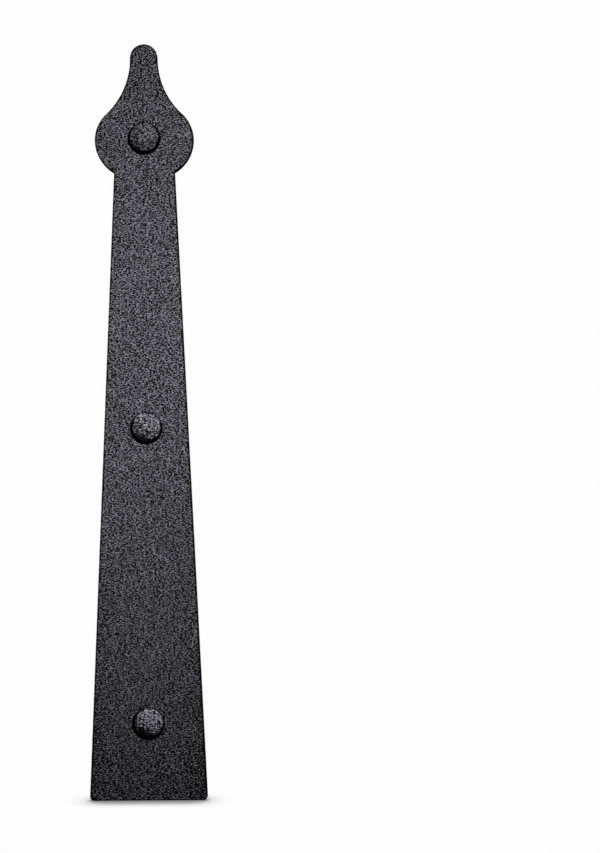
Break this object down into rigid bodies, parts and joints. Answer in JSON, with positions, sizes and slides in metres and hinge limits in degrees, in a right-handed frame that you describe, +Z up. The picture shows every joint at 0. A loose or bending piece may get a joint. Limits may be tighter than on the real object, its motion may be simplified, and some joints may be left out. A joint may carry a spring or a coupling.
{
  "type": "decorative strap hinge leaf",
  "caption": "Tapered black spade-tip strap for a door face, with drive-less dome-head coach bolts, washers and nuts that clamp it through the door leaf.",
  "frame": {"origin": "on the strap's back face, against the door leaf, at the middle bolt's axis", "axes": "+Z up the strap towards its spade tip, -Y the side that is seen, +Y through the door leaf to the nuts, +X to the right seen from the front"},
  "size_m": [0.0632, 0.0639, 0.4064],
  "materials": {
    "black_powder_coat": "textured black powder coat on steel",
    "blackened_bolt": "textured black head, dark oiled shank",
    "zinc_plate": "bright zinc plate"
  },
  "bodies": {
    "root": {"strap": "black_powder_coat", "upper_coach_bolt": "blackened_bolt", "middle_coach_bolt": "blackened_bolt", "lower_coach_bolt": "blackened_bolt", "upper_flat_washer": "zinc_plate", "middle_flat_washer": "zinc_plate", "lower_flat_washer": "zinc_plate", "upper_spring_washer": "zinc_plate", "middle_spring_washer": "zinc_plate", "lower_spring_washer": "zinc_plate", "upper_hex_nut": "zinc_plate", "middle_hex_nut": "zinc_plate", "lower_hex_nut": "zinc_plate"}
  },
  "joints": []
}
